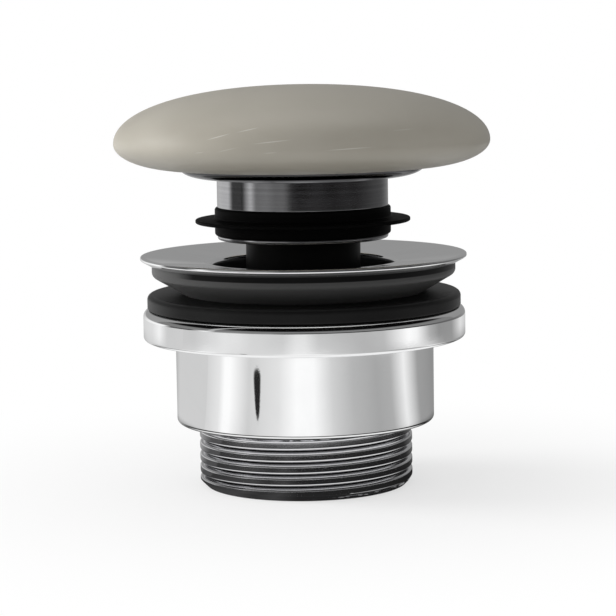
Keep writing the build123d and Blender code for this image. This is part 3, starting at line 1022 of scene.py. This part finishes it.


# floor, in metres: the camera sees it white with a soft shadow; the metal sees a table that is dim close by,
# a painted shadow of the object, has one dark mark at the left front and ends at the walls
floorLook = {
    "radius": 6.0, "paint": 0.78,
    "nearFrom": 0.083, "nearTo": 0.096,
    "farFrom": 0.21, "farTo": 0.26,
    "tableEnd": 0.31, "wallsFrom": 0.36,
    "markPlace": (-0.1014, -0.1236, 0), "markSize": (0.043, 0.0088, 1), "markTurn": 47.4,
    "markTaper": -0.65, "markEnds": 6.0, "markCore": 0.35, "markShade": 0.03,
    "steepFrom": 0.62, "steepTo": 0.42, "steepShade": 0.9, "footFrom": 0.0205, "footTo": 0.0235,
    "shadowNear": 0.030, "shadowFar": 0.11, "shadowShare": 0.4,
}


def makeFloor(look):
    bm = bmesh.new()
    bmesh.ops.create_circle(bm, cap_ends=True, segments=96, radius=look["radius"])
    floor = finishMesh("paleFloor", bm)
    finish = bpy.data.materials.new("paleFloor")
    finish.use_nodes = True
    tree = finish.node_tree
    tree.nodes.clear()
    place = placeOf(tree, -1300, -100)
    away = measure(tree, -1100, 300, "LENGTH", place)
    # table tones by distance
    sweep = useGroup(tree, studioSweep, -900, -100, Vector=place)
    far = fade(tree, -900, 500, away, look["farFrom"], look["farTo"])
    past = fade(tree, -900, 700, away, look["tableEnd"], look["wallsFrom"])
    near = fade(tree, -900, 300, away, look["nearFrom"], look["nearTo"])
    shade = mixOf(tree, -700, 100, far, sweep["Table"], sweep["Table Far"])
    shade = mixOf(tree, -550, 100, past, shade, sweep["Walls"])
    # dim close by: painted shadow of the object
    shade = mixOf(tree, -400, 200, near, sweep["Table Near"], shade)
    # dark mark, blunt along and tapered across
    markTurn = (0, 0, math.radians(look["markTurn"]))
    inMark = markPlace(tree, -1100, -400, place, look["markPlace"], markTurn, look["markSize"])
    inMark = splitXYZ(tree, -1000, -400, inMark)
    along = calc(tree, -900, -300, "POWER", inMark["X"], look["markEnds"])
    taper = calc(tree, -900, -500, "MULTIPLY_ADD", inMark["X"], look["markTaper"], 1.0)
    across = calc(tree, -800, -500, "DIVIDE", inMark["Y"], taper)
    acrossSquared = calc(tree, -750, -500, "MULTIPLY", across, across)
    spot = calc(tree, -720, -400, "ADD", along, acrossSquared)
    bare = fade(tree, -700, -400, spot, look["markCore"], 1.0, low=look["markShade"])
    shade = calc(tree, -450, 0, "MULTIPLY", shade, bare)
    # pale where it is met steeply, except close under the tail, where a painted shadow stays
    facing = setInputs(addNode(tree, "ShaderNodeLayerWeight", -900, -700), Blend=0.5)
    steep = fade(tree, -700, -700, facing.outputs["Facing"], look["steepFrom"], look["steepTo"])
    pastFoot = fade(tree, -700, -900, away, look["footFrom"], look["footTo"])
    steep = calc(tree, -500, -700, "MULTIPLY", steep, pastFoot)
    shade = mixOf(tree, -350, -300, steep, shade, look["steepShade"])
    shown = shaderOf(tree, "ShaderNodeEmission", -200, 0, Color=shade)
    # white for the camera, less so in the shadow near the tail, and see-through from below
    path = addNode(tree, "ShaderNodeLightPath", -650, 900).outputs
    keep = fade(tree, -650, 600, away, look["shadowNear"], look["shadowFar"], low=1 - look["shadowShare"])
    whiten = calc(tree, -400, 700, "MULTIPLY", path["Is Camera Ray"], keep)
    matt = shaderOf(tree, "ShaderNodeBsdfDiffuse", -200, 300, Color=look["paint"])
    white = shaderOf(tree, "ShaderNodeEmission", -200, 150)
    forCamera = chooseShader(tree, 50, 300, whiten, matt, white)
    seen = chooseShader(tree, 250, 100, path["Is Glossy Ray"], forCamera, shown)
    back = addNode(tree, "ShaderNodeNewGeometry", 50, 600).outputs["Backfacing"]
    fromBelow = calc(tree, 250, 500, "MULTIPLY", back, path["Is Camera Ray"])
    clear = shaderOf(tree, "ShaderNodeBsdfTransparent", 250, -100)
    oneSided = chooseShader(tree, 450, 100, fromBelow, seen, clear)
    setInputs(addNode(tree, "ShaderNodeOutputMaterial", 650, 100), Surface=oneSided)
    floor.data.materials.append(finish)


def makeLamp(name, place, target, size, watts):
    lamp = bpy.data.lights.new(name, "AREA")
    lamp.shape = "DISK"
    lamp.size = size
    lamp.energy = watts
    holder = bpy.data.objects.new(name, lamp)
    scene.collection.objects.link(holder)
    holder.location = place
    holder.rotation_euler = (Vector(target) - Vector(place)).to_track_quat("-Z", "Y").to_euler()
    holder.visible_glossy = False


makeSurround(studioLook)
makeFloor(floorLook)
for lampName, (lampPlace, watts) in studioLook["lamps"].items():
    makeLamp(lampName, lampPlace, studioLook["lampTarget"], studioLook["lampSize"], watts)
print("studio ready")


# camera: long lens, slightly above, a little to the right of the axis
cameraView = {
    "focalPixels": 2268.5, "imagePixels": 616, "sensor": 36.0, "place": (0.00075, -0.4423, 0.0881),
    "downDeg": 6.91, "rollDeg": 0.85, "clipStart": 0.01, "clipEnd": 50,
}


def makeCamera(view):
    lens = bpy.data.cameras.new("photoCamera")
    lens.sensor_fit = "HORIZONTAL"
    lens.sensor_width = view["sensor"]
    lens.lens = view["sensor"] * view["focalPixels"] / view["imagePixels"]
    lens.clip_start = view["clipStart"]
    lens.clip_end = view["clipEnd"]
    camera = bpy.data.objects.new("photoCamera", lens)
    scene.collection.objects.link(camera)
    tilt = Euler((math.radians(90 - view["downDeg"]), 0, 0)).to_matrix().to_4x4()
    roll = Matrix.Rotation(math.radians(-view["rollDeg"]), 4, "Z")
    camera.matrix_world = Matrix.Translation(view["place"]) @ tilt @ roll
    scene.camera = camera


makeCamera(cameraView)
